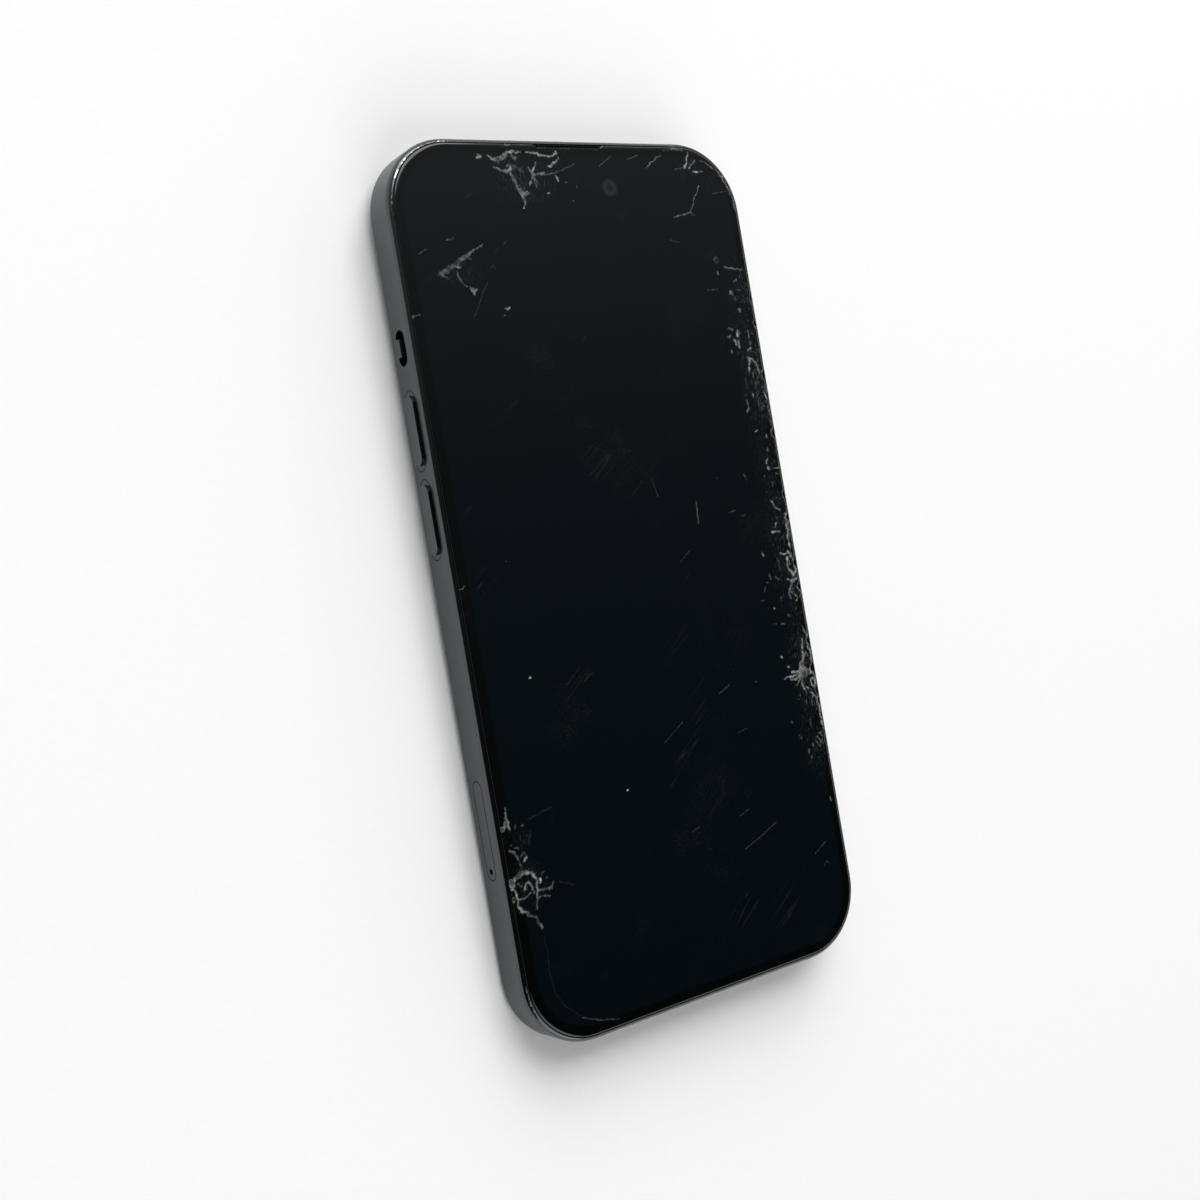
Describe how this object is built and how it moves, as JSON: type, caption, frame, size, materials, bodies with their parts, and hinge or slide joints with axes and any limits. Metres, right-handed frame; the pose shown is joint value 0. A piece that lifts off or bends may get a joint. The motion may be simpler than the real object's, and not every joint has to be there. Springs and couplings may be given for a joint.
{
  "type": "phone with shattered screen",
  "caption": "Flat-sided slab phone with a cracked, chipped and crushed black screen, grey metal frame, side buttons, mute switch and card tray, lying on its back.",
  "frame": {"origin": "centre of the box in plan, on the plane of the two rear lens rings, which are the lowest points", "axes": "+X across the phone to its right side seen from the screen, +Y to the earpiece end, +Z out of the screen"},
  "size_m": [0.0726, 0.1476, 0.0098],
  "materials": {
    "frame_alloy": "fine-blasted and anodised dark grey, with rubbed edges",
    "antenna_resin": "moulded resin, colour-matched to the frame",
    "screen_glass": "polished, black-inked from behind, cracked, chipped and scratched",
    "display_black": "laminated panel, switched off",
    "trim_black": "moulded, dull black",
    "seal_black": "foam adhesive",
    "flex_film": "amber polyimide film",
    "mesh_black": "woven wire, blackened",
    "module_grey": "moulded module housing",
    "back_glass": "frosted, colour applied from behind",
    "ring_alloy": "turned and anodised",
    "lens_glass": "coated optical glass",
    "flash_lens": "frosted clear moulding",
    "phosphor": "yellow phosphor over the lamp chip",
    "bracket_steel": "pressed sheet",
    "battery_foil": "black laminated pouch",
    "tab_white": "stretch-release adhesive",
    "board_green": "solder mask",
    "chip_black": "moulded package",
    "screw_steel": "turned, plated",
    "coil_copper": "enamelled copper wire",
    "port_steel": "drawn shell"
  },
  "bodies": {
    "phone": {"mid_frame": "frame_alloy", "strip_top_left": "antenna_resin", "strip_top_right": "antenna_resin", "strip_bottom_left": "antenna_resin", "strip_bottom_right": "antenna_resin", "cover_glass": "screen_glass", "display_panel": "display_black", "display_trim": "trim_black", "display_seal": "seal_black", "display_flex": "flex_film", "earpiece_mesh": "mesh_black", "earpiece_speaker": "module_grey", "front_camera": "module_grey", "front_sensor": "module_grey", "back_panel": "back_glass", "back_seal": "seal_black", "lens_ring_main": "ring_alloy", "lens_ring_wide": "ring_alloy", "lens_glass_main": "lens_glass", "lens_glass_wide": "lens_glass", "flash_window": "flash_lens", "flash_led": "phosphor", "rear_camera_main": "module_grey", "rear_camera_wide": "module_grey", "camera_bracket": "bracket_steel", "battery": "battery_foil", "battery_tabs": "tab_white", "battery_lead": "flex_film", "main_board": "board_green", "processor": "chip_black", "storage_chip": "chip_black", "radio_chip": "chip_black", "shield_upper": "bracket_steel", "shield_lower": "bracket_steel", "shield_wing": "bracket_steel", "board_screws": "screw_steel", "card_reader": "bracket_steel", "charging_coil": "coil_copper", "port_shell": "port_steel", "port_tongue": "trim_black", "port_flex": "flex_film", "bottom_speaker": "module_grey", "haptic_motor": "bracket_steel", "microphone": "bracket_steel", "speaker_mesh": "mesh_black", "microphone_mesh": "mesh_black", "case_screws": "screw_steel", "volume_flex": "flex_film", "side_flex": "flex_film", "mute_switch_body": "trim_black"},
    "volume_up": {"volume_up_button": "frame_alloy"},
    "volume_down": {"volume_down_button": "frame_alloy"},
    "power": {"side_button": "frame_alloy"},
    "mute": {"mute_switch": "frame_alloy"},
    "tray": {"card_tray": "frame_alloy", "card_tray_seal": "seal_black"}
  },
  "joints": [
    {"name": "volume_up_press", "type": "slide", "parent": "phone", "child": "volume_up", "axis": [1, 0, 0], "range_m": [0, 0.00025], "stiffness_N_per_m": 6000},
    {"name": "volume_down_press", "type": "slide", "parent": "phone", "child": "volume_down", "axis": [1, 0, 0], "range_m": [0, 0.00025], "stiffness_N_per_m": 6000},
    {"name": "power_press", "type": "slide", "parent": "phone", "child": "power", "axis": [-1, 0, 0], "range_m": [0, 0.00025], "stiffness_N_per_m": 6000},
    {"name": "mute_slide", "type": "slide", "parent": "phone", "child": "mute", "axis": [0, 0, 1], "range_m": [0, 0.0012]},
    {"name": "tray_slide", "type": "slide", "parent": "phone", "child": "tray", "axis": [-1, 0, 0], "range_m": [0, 0.024]}
  ]
}
